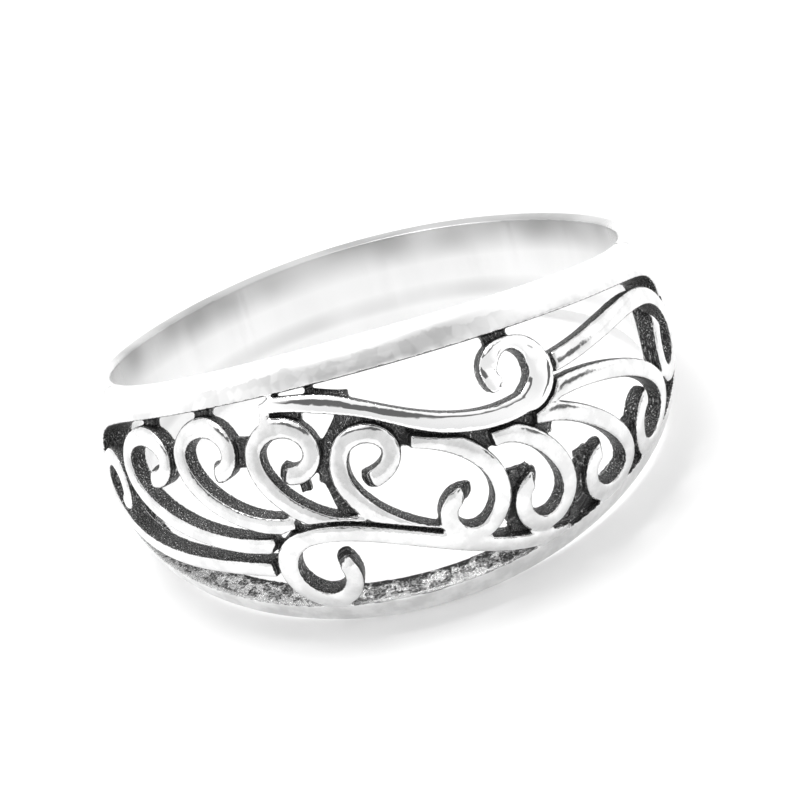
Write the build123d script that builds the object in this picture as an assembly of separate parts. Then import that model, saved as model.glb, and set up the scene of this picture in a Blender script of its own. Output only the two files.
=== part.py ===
from build123d import *
import math
import os
from typing import NamedTuple

# A filigree openwork ring, cast and soldered as one piece of silver.
# The band is tall and domed at the front and narrows to a plain shank at the back.
# The front is pierced: two rails frame two volutes and ten scrolls, joined by low webs.
# Lengths are millimetres and angles are degrees.

# Band
FINGER_R = 9.0            # radius of the finger hole
FRONT_HEIGHT = 9.76       # height of the band at the middle of the front
BACK_HEIGHT = 3.40        # height of the band at the middle of the back
TAPER = 1.80              # how quickly the height falls away from the front
FRONT_EDGE = 0.33         # thickness of the rims at the front
BACK_EDGE = 0.80          # thickness of the rims at the back
FRONT_CROWN = 1.87        # how far the front bulges out beyond its rims
BACK_CROWN = 0.15         # how far the back bulges out beyond its rims
CROWN_TAPER = 2.45        # how quickly the bulge falls away from the front
WALL = 0.94               # thickness of the hollow domed front
SHOULDER_WALL = 1.54      # thickness that the wall grows towards, round to the back

# Pierced front
RAIL = 0.90               # height of each of the two rails
PANEL_HALF_ANGLE = 73.5   # half the turn that the pierced panel takes up
PANEL_MIDDLE = 1.5        # the panel's middle, round from the middle of the front
PANEL_CORNER = 8.0        # exponent that rounds the panel's ends
SCROLL_BAR = 0.64         # width of a scroll's bar
VOLUTE_STEM = 0.62        # width of a volute's long stem, and of its tip
RIGHT_VOLUTE_BAR = 0.94   # width of the right volute's bar where its curl is widest
LEFT_VOLUTE_BAR = 0.76    # width of the left volute's bar where its curl is widest
BAR_DEPTH = 0.60          # thickness of the bars, thinner than the rails beside them
BACK_MARGIN = 0.20        # how far the space behind the bars stays inside the panel
WEB_BAR = 0.60            # width of a web, its ends hidden under the bars beside it
WEB_DROP = 0.30           # how far a web lies below the face of the bars
ROOT_LAP = 0.50           # how far a stem runs on into what it springs from
SMALLEST_GAP = 0.13       # area of the smallest gap that is cut, in square millimetres

# How finely outlines are drawn
SECTION_STEP = 15.0       # turn between two sections of the band
STEM_SPANS = 14           # straight spans along a stem
CURL_SPANS = 24           # straight spans round a curl
TIP_SPANS = 4             # straight spans round a rounded tip
PANEL_SPANS = 48          # straight spans along the panel's upper or lower side
CURL_TIGHTENING = 2.2     # how late a curl tightens towards its tip
CURL_SWELLING = 0.6       # how early a volute's curl swells, 1 being half way round it
CURL_SPREAD = 25.0        # turn that a curl of radius 1 reaches sideways
BEND_SHARE = 0.9          # most of a bend's radius that half a bar may take up
CUT_CLEARANCE = 1.5       # how far a cutter runs past the face it cuts

HALF_FRONT = FRONT_HEIGHT / 2
HALF_BACK = BACK_HEIGHT / 2
CROWN_R = FINGER_R + FRONT_EDGE + FRONT_CROWN


class Scroll(NamedTuple):
    """One scroll or volute of the front's drawing.

    Places round the ring are degrees from the middle of the front, and heights
    are shares of half the front's height. A radius of 1 is half the front's
    height tall and CURL_SPREAD degrees wide. Pulls are shares of the stem's
    length, and a curl turns by sweep degrees from join_turn to its tip.
    """

    name: str
    curl_at: float
    curl_up: float
    join_radius: float
    tip_radius: float
    tallness: float
    join_turn: float
    sweep: float
    root_at: float
    root_up: float
    root_turn: float
    root_pull: float
    join_pull: float


SCROLLS = (
    Scroll("right_volute", 23.5, 0.504, 0.243, 0.141, 0.84, -85, 272, -19.5, 0.740, 1, 0.35, 0.36),
    Scroll("right_1", 10.0, -0.247, 0.194, 0.102, 1.06, -47, -221, 3.2, 0.351, -16, 0.59, 0.35),
    Scroll("right_2", 23.3, -0.336, 0.225, 0.102, 1.19, -32, -213, 16.3, 0.167, 10, 0.36, 0.31),
    Scroll("right_3", 39.3, -0.367, 0.297, 0.103, 0.98, -50, -178, 27.6, 0.164, -12, 0.28, 0.29),
    Scroll("right_4", 54.3, -0.300, 0.276, 0.102, 1.06, -19, -233, 31.2, 0.274, 0, 0.36, 0.23),
    Scroll("right_5", 69.4, -0.073, 0.212, 0.328, 0.85, 12, -259, 32.8, 0.439, -2, 0.33, 0.36),
    Scroll("left_volute", -17.4, -0.464, 0.261, 0.169, 1.11, 100, 283, 27.0, -0.722, 184, 0.30, 0.29),
    Scroll("left_1", -5.1, 0.345, 0.149, 0.263, 0.74, -202, -250, 3.6, -0.364, 153, 0.36, 0.35),
    Scroll("left_2", -18.6, 0.394, 0.234, 0.123, 0.82, -232, -231, -10.1, -0.126, 174, 0.35, 0.39),
    Scroll("left_3", -34.2, 0.414, 0.255, 0.128, 0.79, -203, -228, -21.9, -0.066, 177, 0.44, 0.22),
    Scroll("left_4", -50.6, 0.338, 0.276, 0.176, 0.61, -188, -256, -26.6, -0.211, 180, 0.34, 0.23),
    Scroll("left_5", -65.3, 0.042, 0.256, 0.112, 0.88, -149, -282, -26.4, -0.409, 174, 0.35, 0.25),
)


class Web(NamedTuple):
    """One low web, from one point to another along the gap that it fills."""

    name: str
    start_at: float
    start_up: float
    end_at: float
    end_up: float


WEBS = (
    Web("left_2_to_3", -26.8, 0.34, -26.8, 0.54),
    Web("left_1_to_2", -12.0, 0.18, -11.2, 0.44),
    Web("left_1_shoulder", -10.0, 0.44, -7.0, 0.567),
    Web("left_1_side", -11.2, 0.20, -10.0, -0.08),
    Web("left_1_foot", -10.0, -0.08, -6.0, -0.24),
    Web("left_1_to_stem", -6.0, -0.24, 3.0, -0.42),
    Web("left_2_nub", -17.2, 0.20, -15.3, 0.205),
    Web("left_3_to_4", -42.6, 0.29, -43.0, 0.50),
    Web("left_4_to_5", -60.9, 0.20, -60.0, 0.02),
    Web("left_1_to_volute", -7.0, 0.59, 1.6, 0.43),
    Web("left_1_to_right_1", 1.0, 0.44, 2.2, 0.33),
    Web("right_1_to_volute", 8.0, 0.31, 15.4, 0.17),
    Web("right_1_nub", 17.8, -0.171, 21.8, -0.187),
    Web("right_1_to_2", 18.2, -0.216, 17.5, -0.51),
    Web("right_1_to_2_foot", 17.5, -0.51, 18.9, -0.64),
    Web("right_2_to_volute", 21.4, 0.18, 28.4, 0.07),
    Web("right_2_nub", 32.0, -0.295, 35.1, -0.287),
    Web("right_2_to_3", 32.0, -0.303, 32.3, -0.66),
    Web("right_2_to_3_foot", 29.5, -0.70, 35.5, -0.72),
    Web("right_3_to_4", 46.9, -0.26, 47.8, -0.47),
    Web("right_4_to_5", 61.0, -0.08, 63.0, -0.27),
    Web("stem_to_rail", -11.5, 0.715, -4.8, 0.67),
    Web("left_3_to_rail", -37.8, 0.70, -34.0, 0.72),
    Web("left_4_to_rail", -53.6, 0.58, -50.0, 0.60),
    Web("volute_to_rail", 22.0, 0.78, 27.0, 0.75),
    Web("right_5_to_rail", 68.5, -0.38, 71.0, -0.38),
)


def front_share(turn):
    """Gives 1 at the front of the ring and 0 at its back."""
    return math.cos(math.radians(turn) / 2) ** 2


def half_height(turn):
    """Half the band's height at a turn from the front."""
    return HALF_BACK + (HALF_FRONT - HALF_BACK) * front_share(turn) ** TAPER


def edge_thickness(turn):
    """Thickness of the rims at a turn from the front."""
    return BACK_EDGE + (FRONT_EDGE - BACK_EDGE) * front_share(turn)


def crown(turn):
    """How far the band bulges beyond its rims at a turn from the front."""
    return BACK_CROWN + (FRONT_CROWN - BACK_CROWN) * front_share(turn) ** CROWN_TAPER


def face_arc(turn):
    """Radius of the outer face's arc, and its centre's distance from the axis."""
    half, bulge = half_height(turn), crown(turn)
    radius = (half**2 + bulge**2) / (2 * bulge)
    return radius, FINGER_R + edge_thickness(turn) + bulge - radius


def face_radius(turn, height):
    """Distance of the outer face from the axis."""
    radius, centre = face_arc(turn)
    return centre + math.sqrt(radius**2 - height**2)


def wall(turn):
    """Thickness of the domed wall at a turn from the front."""
    return SHOULDER_WALL + (WALL - SHOULDER_WALL) * front_share(turn)


def at_turn(turn):
    """Plane through the axis at a turn from the front, with X outward and Y up."""
    angle = math.radians(turn)
    outward = (math.sin(angle), -math.cos(angle), 0)
    backward = (-math.cos(angle), -math.sin(angle), 0)
    return Plane(origin=(0, 0, 0), x_dir=outward, z_dir=backward)


def band_section(turn):
    """The band's section, from inside the finger hole to the domed outer face."""
    half = half_height(turn)
    rim = FINGER_R + edge_thickness(turn)
    inside = FINGER_R - CUT_CLEARANCE
    face = ThreePointArc((rim, -half), (rim + crown(turn), 0), (rim, half))
    rest = Polyline((rim, half), (inside, half), (inside, -half), (rim, -half))
    return at_turn(turn) * make_face([face, rest])


def hollow_section(turn):
    """The hollow's section: the face's arc moved in by the wall, closed by a chord."""
    radius, centre = face_arc(turn)
    radius -= wall(turn)
    inside = FINGER_R - CUT_CLEARANCE
    half = math.sqrt(radius**2 - (inside - centre) ** 2)
    arc = ThreePointArc((inside, -half), (centre + radius, 0), (inside, half))
    return at_turn(turn) * make_face([arc, Line((inside, half), (inside, -half))])


def behind_bars_section(turn):
    """Section of the space behind the bars, with sides that point at the ring's centre."""
    radius, centre = face_arc(turn)
    radius -= BAR_DEPTH
    half = half_height(turn) - RAIL - BACK_MARGIN
    slope = half / face_radius(turn, half)
    square = 1 + slope**2
    reach = (centre + math.sqrt(radius**2 * square - (centre * slope) ** 2)) / square
    far, near = (reach, reach * slope), (FINGER_R - CUT_CLEARANCE, (FINGER_R - CUT_CLEARANCE) * slope)
    arc = ThreePointArc((far[0], -far[1]), (centre + radius, 0), far)
    sides = Polyline(far, near, (near[0], -near[1]), (far[0], -far[1]))
    return at_turn(turn) * make_face([arc, sides])


def sweep_round(section, first, last):
    """Lofts a section round the ring from one turn to another."""
    count = math.ceil((last - first) / SECTION_STEP)
    turns = [first + (last - first) * i / count for i in range(count + 1)]
    return loft([section(turn) for turn in turns])


def band():
    """The whole band before piercing, hollow behind its domed front."""
    front = sweep_round(band_section, -90, 90)
    back = sweep_round(band_section, 90, 270)
    finger = Cylinder(FINGER_R, 2 * FRONT_HEIGHT)
    reach = PANEL_HALF_ANGLE - math.degrees(BACK_MARGIN / CROWN_R)
    behind_bars = sweep_round(behind_bars_section, PANEL_MIDDLE - reach, PANEL_MIDDLE + reach)
    return front + back - finger - sweep_round(hollow_section, -90, 90) - behind_bars


def drawn(turn, height_share):
    """A place on the front in the drawing's own units, in which a curl is drawn round."""
    return Vector(turn / CURL_SPREAD, height_share)


def unroll(point):
    """A point of the drawing as a point of the front, unrolled flat at its real size."""
    return Vector(math.radians(point.X * CURL_SPREAD) * CROWN_R, point.Y * HALF_FRONT)


def heading(angle):
    """Unit vector of the drawing at an angle from its X axis."""
    return Vector(math.cos(math.radians(angle)), math.sin(math.radians(angle)))


def curl_points(scroll):
    """Centre line of a scroll's curl, from where its stem joins to its tip."""
    centre = drawn(scroll.curl_at, scroll.curl_up)
    points = []
    for i in range(CURL_SPANS + 1):
        share = i / CURL_SPANS
        shrink = (scroll.tip_radius - scroll.join_radius) * share**CURL_TIGHTENING
        spoke = heading(scroll.join_turn + scroll.sweep * share) * (scroll.join_radius + shrink)
        points.append(centre + Vector(spoke.X, spoke.Y * scroll.tallness))
    return points


def stem_points(scroll, join, after_join):
    """Centre line of a scroll's stem, a smooth curve from its root to its curl."""
    root = drawn(scroll.root_at, scroll.root_up)
    length = (join - root).length
    pull_out = root + heading(scroll.root_turn) * length * scroll.root_pull
    pull_in = join - (after_join - join).normalized() * length * scroll.join_pull
    points = []
    for i in range(STEM_SPANS):
        t = i / STEM_SPANS
        near = root * (1 - t) ** 3 + pull_out * (3 * t * (1 - t) ** 2)
        points.append(near + pull_in * (3 * t**2 * (1 - t)) + join * t**3)
    return points


def bar_line(scroll):
    """Centre line of a whole bar on the flat front, with its root run on into its neighbour."""
    curl = curl_points(scroll)
    line = [unroll(point) for point in stem_points(scroll, curl[0], curl[1]) + curl]
    return [line[0] + (line[0] - line[1]).normalized() * ROOT_LAP, *line]


def bend_radius(before, point, after):
    """Radius of the bend at a point of a line, positive where it bends to the left."""
    come, go = point - before, after - point
    straight = come.length == 0 or go.length == 0 or come.get_signed_angle(go) == 0
    if straight:
        return math.inf
    return (come.length + go.length) / 2 / math.radians(come.get_signed_angle(go))


def side_points(points, widths):
    """Points to the left and to the right of a centre line, half a width away.

    Inside a bend that is tighter than the bar, the side keeps clear of its centre.
    """
    left, right = [], []
    for i, point in enumerate(points):
        before, after = points[max(i - 1, 0)], points[min(i + 1, len(points) - 1)]
        across = Vector(before.Y - after.Y, after.X - before.X).normalized()
        bend = bend_radius(before, point, after)
        room = abs(bend) * BEND_SHARE
        half = widths[i] / 2
        left.append(point + across * (min(half, room) if bend > 0 else half))
        right.append(point - across * (min(half, room) if bend < 0 else half))
    return left, right


def tip_points(left, right):
    """Points of the half circle that rounds a bar's tip, from its left to its right."""
    centre = (left + right) / 2
    spoke = left - centre
    turns = [-180 * i / TIP_SPANS for i in range(1, TIP_SPANS)]
    return [centre + spoke.rotate(Axis.Z, turn) for turn in turns]


def bar_widths(scroll):
    """Width of a bar at each point of its line: a volute's swells as it goes round its curl."""
    widest = {"right_volute": RIGHT_VOLUTE_BAR, "left_volute": LEFT_VOLUTE_BAR}
    if scroll.name not in widest:
        return [SCROLL_BAR] * (STEM_SPANS + CURL_SPANS + 2)
    swelling = widest[scroll.name] - VOLUTE_STEM
    shares = [math.sin(math.pi * (i / CURL_SPANS) ** CURL_SWELLING) for i in range(CURL_SPANS + 1)]
    return [VOLUTE_STEM] * (STEM_SPANS + 1) + [VOLUTE_STEM + swelling * share for share in shares]


def bar_faces(scroll):
    """A scroll's bar as two flat faces that overlap half way round its curl."""
    left, right = side_points(bar_line(scroll), bar_widths(scroll))
    middle = STEM_SPANS + CURL_SPANS // 2
    root_side = left[: middle + 2] + right[middle + 1 :: -1]
    tip_side = left[middle:] + tip_points(left[-1], right[-1]) + right[: middle - 1 : -1]
    return [flat_face(root_side), flat_face(tip_side)]


def web_face(web):
    """A web as a flat rectangle of the unrolled front."""
    ends = [unroll(drawn(web.start_at, web.start_up)), unroll(drawn(web.end_at, web.end_up))]
    left, right = side_points(ends, [WEB_BAR] * 2)
    return flat_face(left + right[::-1])


def panel_face():
    """The pierced panel between the rails, with rounded ends."""
    upper = []
    for i in range(PANEL_SPANS + 1):
        across = -math.cos(math.pi * i / PANEL_SPANS)
        turn = PANEL_MIDDLE + PANEL_HALF_ANGLE * across
        rounding = max(0.0, 1 - abs(across) ** PANEL_CORNER) ** (1 / PANEL_CORNER)
        height = (half_height(turn) - RAIL) * rounding
        upper.append(Vector(math.radians(turn) * CROWN_R, height))
    lower = [Vector(point.X, -point.Y) for point in upper[1:-1]]
    return flat_face(upper + lower[::-1])


def flat_face(outline):
    """A flat face inside an outline."""
    return Face(Wire.make_polygon(outline, close=True))


def on_face(point):
    """The place on the band's outer face that a point of the flat front stands for."""
    turn = math.degrees(point.X / CROWN_R)
    radius = face_radius(turn, point.Y)
    return at_turn(turn).from_local_coords(Vector(radius, point.Y, 0))


def pyramid(outline, depth_in, depth_out):
    """Cutter through a flat outline, with walls that all point at the ring's centre.

    It runs from depth_in below the band's outer face to depth_out above it.
    """
    places = [on_face(edge.position_at(0)) for edge in outline.outer_wire().order_edges()]
    rays = [place.normalized() for place in places]
    axis = sum(rays, Vector(0, 0, 0)).normalized()
    reach = sum(place.dot(axis) for place in places) / len(places)
    inner = [ray * ((reach - depth_in) / ray.dot(axis)) for ray in rays]
    outer = [ray * ((reach + depth_out) / ray.dot(axis)) for ray in rays]
    sides = []
    for i in range(len(rays)):
        sides.append(flat_face([inner[i - 1], inner[i], outer[i], outer[i - 1]]))
    return Solid(Shell([flat_face(inner), flat_face(outer), *sides]))


def cutters():
    """Everything that is cut from the band: gaps right through it, and webs part way."""
    bars = [face for scroll in SCROLLS for face in bar_faces(scroll)]
    webs = [web_face(web) for web in WEBS]
    between = panel_face().cut(*bars)
    gaps = [gap for gap in between.cut(*webs).faces() if gap.area > SMALLEST_GAP]
    lows = [low for low in between.cut(*gaps).faces() if low.area > SMALLEST_GAP]
    through = WALL + FRONT_CROWN + CUT_CLEARANCE
    deep = [pyramid(gap, through, CUT_CLEARANCE) for gap in gaps]
    return deep + [pyramid(low, WEB_DROP, CUT_CLEARANCE) for low in lows]


def resting_turn():
    """Turn about X at which the lower rim touches the floor at the front and the back."""
    return math.degrees(math.atan2(HALF_FRONT - HALF_BACK, 2 * FINGER_R + BACK_EDGE))


def openwork_ring():
    """The whole ring, pierced, in its own frame with the finger hole along Z."""
    return band().cut(*cutters())


def rested(ring):
    """The ring lying on the floor, with its box's bottom centre at the origin."""
    turn = math.radians(resting_turn())
    lift = HALF_FRONT * math.cos(turn) - FINGER_R * math.sin(turn)
    front_radius, front_centre = face_arc(0)
    back_radius, back_centre = face_arc(180)
    foremost = front_centre * math.cos(turn) + front_radius
    rearmost = back_centre * math.cos(turn) + back_radius
    return Pos(0, (foremost - rearmost) / 2, lift) * Rot(-resting_turn(), 0, 0) * ring


os.makedirs("parts", exist_ok=True)
ring = rested(openwork_ring())
ring.label = "openwork_ring"
export_step(ring, "parts/openwork_ring.step")
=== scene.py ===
import logging
import math
from collections.abc import Callable
from dataclasses import astuple, dataclass, field
from enum import Enum

import bmesh
import bpy
import numpy as np
from mathutils import Matrix, Vector, kdtree

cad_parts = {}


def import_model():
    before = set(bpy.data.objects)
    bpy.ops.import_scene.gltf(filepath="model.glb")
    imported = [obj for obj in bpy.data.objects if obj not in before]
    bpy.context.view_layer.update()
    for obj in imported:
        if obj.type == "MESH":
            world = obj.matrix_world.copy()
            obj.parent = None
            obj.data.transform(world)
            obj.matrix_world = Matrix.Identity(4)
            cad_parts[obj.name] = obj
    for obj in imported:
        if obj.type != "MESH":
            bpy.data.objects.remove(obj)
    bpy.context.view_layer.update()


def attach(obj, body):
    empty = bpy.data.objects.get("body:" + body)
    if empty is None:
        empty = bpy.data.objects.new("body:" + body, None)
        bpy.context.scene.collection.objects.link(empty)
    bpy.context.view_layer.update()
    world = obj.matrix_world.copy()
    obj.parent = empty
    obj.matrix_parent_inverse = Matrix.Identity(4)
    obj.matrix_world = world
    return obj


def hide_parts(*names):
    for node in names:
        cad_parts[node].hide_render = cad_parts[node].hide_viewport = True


# A filigree openwork ring, cast and soldered in silver, polished on its faces and
# oxidised black in its recesses. Lengths are millimetres until the ring is laid down,
# and angles are degrees.

LOG = logging.getLogger("openwork_ring")
MM = 0.001
MERGED = 1e-5

Span = tuple[float, float]


def smooth_step(low: float, high: float, value: float) -> float:
    """Gives a share that rises smoothly from 0 where a value is low to 1 where it is high."""
    share = min(1.0, max(0.0, (value - low) / (high - low)))
    return share * share * (3 - 2 * share)


def turn_at(point: Vector) -> float:
    """Turn of a point about the finger, from the middle of the front."""
    return math.degrees(math.atan2(point.x, -point.y))


def slab(columns: int, rows: int, corner: Callable[[float, float, bool], Vector]) -> bmesh.types.BMesh:
    """Models a closed slab as a grid with a top and a bottom, shaped corner by corner.

    Args:
        columns: Number of the grid's cells along the slab.
        rows: Number of the grid's cells across it.
        corner: Gives a corner's place from its place along and across the grid, each
            from -1 to 1, and from whether it belongs to the top.

    Returns:
        The slab's mesh, with its faces pointing outwards.
    """
    bm = bmesh.new()
    bmesh.ops.create_grid(bm, x_segments=columns, y_segments=rows, size=1.0)
    made = bmesh.ops.extrude_face_region(bm, geom=bm.faces[:])
    tops = {item for item in made["geom"] if isinstance(item, bmesh.types.BMVert)}
    for vert in bm.verts:
        vert.co = corner(vert.co.x, vert.co.y, vert in tops)
    bmesh.ops.remove_doubles(bm, verts=bm.verts[:], dist=MERGED)
    bmesh.ops.recalc_face_normals(bm, faces=bm.faces[:])
    return bm


@dataclass(frozen=True)
class Band:
    """The band's form: a hollow dome at the front that narrows to a plain shank."""

    finger_r: float = 9.0
    front_height: float = 9.76
    back_height: float = 3.40
    taper: float = 1.80
    front_edge: float = 0.33
    back_edge: float = 0.80
    front_crown: float = 1.87
    back_crown: float = 0.15
    crown_taper: float = 2.45
    front_wall: float = 0.94
    shoulder_wall: float = 1.54
    bar_depth: float = 0.60
    rail: float = 0.90
    panel_half_angle: float = 73.5
    panel_middle: float = 1.5
    panel_corner: float = 8.0
    tries: int = 4

    @property
    def half_front(self) -> float:
        """Half the band's height at the middle of the front."""
        return self.front_height / 2

    @property
    def crown_r(self) -> float:
        """Distance from the axis to the foremost point of the dome."""
        return self.finger_r + self.front_edge + self.front_crown

    def front_share(self, turn: float) -> float:
        """Gives 1 at the front of the ring and 0 at its back, for a turn."""
        return math.cos(math.radians(turn) / 2) ** 2

    def half_height(self, turn: float) -> float:
        """Half the band's height at a turn from the front."""
        half_back = self.back_height / 2
        return half_back + (self.half_front - half_back) * self.front_share(turn) ** self.taper

    def edge(self, turn: float) -> float:
        """Thickness of the rims at a turn from the front."""
        return self.back_edge + (self.front_edge - self.back_edge) * self.front_share(turn)

    def crown(self, turn: float) -> float:
        """How far the band bulges beyond its rims at a turn from the front."""
        growth = (self.front_crown - self.back_crown) * self.front_share(turn) ** self.crown_taper
        return self.back_crown + growth

    def wall(self, turn: float) -> float:
        """Thickness of the domed wall at a turn from the front."""
        return self.shoulder_wall + (self.front_wall - self.shoulder_wall) * self.front_share(turn)

    def face_arc(self, turn: float) -> tuple[float, float]:
        """Finds the arc of the outer face in the section at a turn.

        Args:
            turn: Turn from the middle of the front.

        Returns:
            The arc's radius, and the distance of its centre from the axis.
        """
        half, bulge = self.half_height(turn), self.crown(turn)
        radius = (half**2 + bulge**2) / (2 * bulge)
        return radius, self.finger_r + self.edge(turn) + bulge - radius

    def face_radius(self, turn: float, up: float) -> float:
        """Distance of the outer face from the axis, at a turn and a height."""
        radius, centre = self.face_arc(turn)
        return centre + math.sqrt(max(0.0, radius**2 - up**2))

    def hollow_radius(self, turn: float, up: float) -> float:
        """Distance of the inner face from the axis, at a turn and a height."""
        radius, centre = self.face_arc(turn)
        return max(self.finger_r, centre + math.sqrt(max(0.0, (radius - self.wall(turn)) ** 2 - up**2)))

    def at(self, turn: float, radius: float, up: float) -> Vector:
        """The point at a turn, a distance from the axis and a height."""
        angle = math.radians(turn)
        return Vector((radius * math.sin(angle), -radius * math.cos(angle), up))

    def on_face(self, turn: float, up: float, lift: float = 0.0) -> Vector:
        """The outer face's point at a turn and a height, or one lifted away from the ring's centre."""
        point = self.at(turn, self.face_radius(turn, up), up)
        return point + point.normalized() * lift

    def under(self, turn: float, up: float) -> Vector:
        """Finds the point of the filigree's inner face straight behind a point of the outer face.

        Args:
            turn: Turn from the middle of the front.
            up: Height of the outer point above the ring's middle plane.

        Returns:
            The point of the inner face on the line to the ring's centre.
        """
        radius, centre = self.face_arc(turn)
        outer = self.face_radius(turn, up)
        inner = radius - self.bar_depth
        squared = outer**2 + up**2
        root = (centre * outer) ** 2 - squared * (centre**2 - inner**2)
        share = (centre * outer + math.sqrt(max(0.0, root))) / squared
        return self.at(turn, outer, up) * max(share, self.finger_r / outer)

    def spoke(self, point: Vector) -> Vector:
        """The way to a point from the centre of the outer face's arc in the point's own section."""
        turn = turn_at(point)
        return point - self.at(turn, self.face_arc(turn)[1], 0.0)

    def depth(self, point: Vector) -> float:
        """How far a point lies below the outer face, along the face's own direction."""
        return self.face_arc(turn_at(point))[0] - self.spoke(point).length

    def panel_turn(self, across: float) -> float:
        """The turn of a place of the pierced panel, from -1 at its left end to 1 at its right."""
        return self.panel_middle + self.panel_half_angle * across

    def panel_height(self, across: float) -> float:
        """Half the height of the pierced panel, from -1 at its left end to 1 at its right."""
        rounding = max(0.0, 1 - abs(across) ** self.panel_corner) ** (1 / self.panel_corner)
        return (self.half_height(self.panel_turn(across)) - self.rail) * rounding

    def above(self, point: Vector) -> tuple[float, float]:
        """Finds the place of the outer face that lies straight above a point of the band.

        Args:
            point: The point, in the ring's own frame.

        Returns:
            The place's turn, and its height above the ring's middle plane.
        """
        turn = turn_at(point)
        slope = point.z / max(1.0, math.hypot(point.x, point.y))
        up = slope * self.face_radius(turn, 0.0)
        for _ in range(self.tries):
            up = slope * self.face_radius(turn, min(abs(up), self.half_height(turn)))
        return turn, up

    def panel_inset(self, turn: float, up: float) -> float:
        """Finds how far inside the pierced panel a place of the outer face lies.

        Args:
            turn: The place's turn from the middle of the front.
            up: Its height above the ring's middle plane.

        Returns:
            The distance from the panel's edge, negative outside it.
        """
        across = (turn - self.panel_middle) / self.panel_half_angle
        if abs(across) >= 1:
            return (1 - abs(across)) * math.radians(self.panel_half_angle) * self.crown_r
        return self.panel_height(across) - abs(up)


class Section(Enum):
    """How a bar is rounded across its width."""

    FLAT = "flat"
    ROUND = "round"


@dataclass(frozen=True)
class Trim:
    """A stretch of a bar that is slimmer: where, how long each way, and by how much on each side."""

    at: float
    reach: float
    upper: float
    lower: float


@dataclass(frozen=True)
class Dent:
    """A shallow dent across a bar's top: where along it, half its length, and its depth."""

    at: float
    reach: float
    depth: float


@dataclass(frozen=True)
class Scroll:
    """One scroll or volute.

    Places round the ring are degrees from the middle of the front, and heights are shares
    of half the front's height. A radius of 1 is half the front's height tall and as wide
    as the drawing's spread. Pulls are shares of the stem's length, and a curl turns by
    sweep. The curl's width is the bar's width where the curl is widest. A root is cut off
    bluntly, or swells from a point over the length root_taper, or runs into its neighbour.
    """

    name: str
    curl_at: float
    curl_up: float
    join_radius: float
    tip_radius: float
    tallness: float
    join_turn: float
    sweep: float
    root_at: float
    root_up: float
    root_turn: float
    root_pull: float
    join_pull: float
    springs_from: str
    section: Section = Section.FLAT
    lift: float = 0.0
    stem_width: float = 0.64
    curl_width: float = 0.64
    blunt_root: bool = False
    root_taper: float = 0.0
    tip_slope: float = 0.42
    crown: float = 0.035
    trims: tuple[Trim, ...] = ()
    dents: tuple[Dent, ...] = ()


SCROLLS = (
    Scroll("right_volute", 23.5, 0.504, 0.243, 0.141, 0.84, -85, 272, -19.5, 0.740, 1, 0.35, 0.36,
           "", Section.ROUND, 0.06, 0.62, 0.94, root_taper=0.45,
           trims=(Trim(0.2, 2.4, 0.18, 0.0), Trim(3.6, 2.4, 0.0, 0.14), Trim(11.7, 1.3, 0.24, 0.20)),
           dents=(Dent(12.9, 0.20, 0.12), Dent(10.7, 0.30, 0.06))),
    Scroll("right_1", 10.0, -0.247, 0.194, 0.102, 1.06, -47, -221, 3.2, 0.351, -16, 0.59, 0.35,
           "right_volute", blunt_root=True, tip_slope=0.60),
    Scroll("right_2", 23.3, -0.336, 0.225, 0.102, 1.19, -32, -213, 16.3, 0.167, 10, 0.36, 0.31,
           "right_volute", blunt_root=True),
    Scroll("right_3", 39.3, -0.367, 0.297, 0.103, 0.98, -50, -178, 27.6, 0.164, -12, 0.28, 0.29,
           "right_volute"),
    Scroll("right_4", 54.3, -0.300, 0.276, 0.102, 1.06, -19, -233, 31.2, 0.274, 0, 0.36, 0.23,
           "right_volute"),
    Scroll("right_5", 69.4, -0.073, 0.212, 0.328, 0.85, 12, -259, 32.8, 0.439, -2, 0.33, 0.36,
           "right_volute"),
    Scroll("left_volute", -17.4, -0.464, 0.261, 0.169, 1.11, 100, 283, 27.0, -0.722, 184, 0.30, 0.29,
           "", Section.FLAT, 0.03, 0.62, 0.76, root_taper=1.8),
    Scroll("left_1", -5.1, 0.345, 0.149, 0.263, 0.74, -202, -250, 3.6, -0.364, 153, 0.36, 0.35,
           "left_volute", crown=0.07),
    Scroll("left_2", -18.6, 0.394, 0.234, 0.123, 0.82, -232, -231, -10.1, -0.126, 174, 0.35, 0.39,
           "left_volute", crown=0.07),
    Scroll("left_3", -34.2, 0.414, 0.255, 0.128, 0.79, -203, -228, -21.9, -0.066, 177, 0.44, 0.22,
           "left_volute", crown=0.07),
    Scroll("left_4", -50.6, 0.338, 0.276, 0.176, 0.61, -188, -256, -26.6, -0.211, 180, 0.34, 0.23,
           "left_volute", crown=0.07),
    Scroll("left_5", -65.3, 0.042, 0.256, 0.112, 0.88, -149, -282, -26.4, -0.409, 174, 0.35, 0.25,
           "left_volute", crown=0.07),
)


@dataclass(frozen=True)
class Web:
    """One web along the gap that it fills, from its start to its end: low, or raised as a bar is."""

    name: str
    start_at: float
    start_up: float
    end_at: float
    end_up: float
    raised: bool = False


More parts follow.
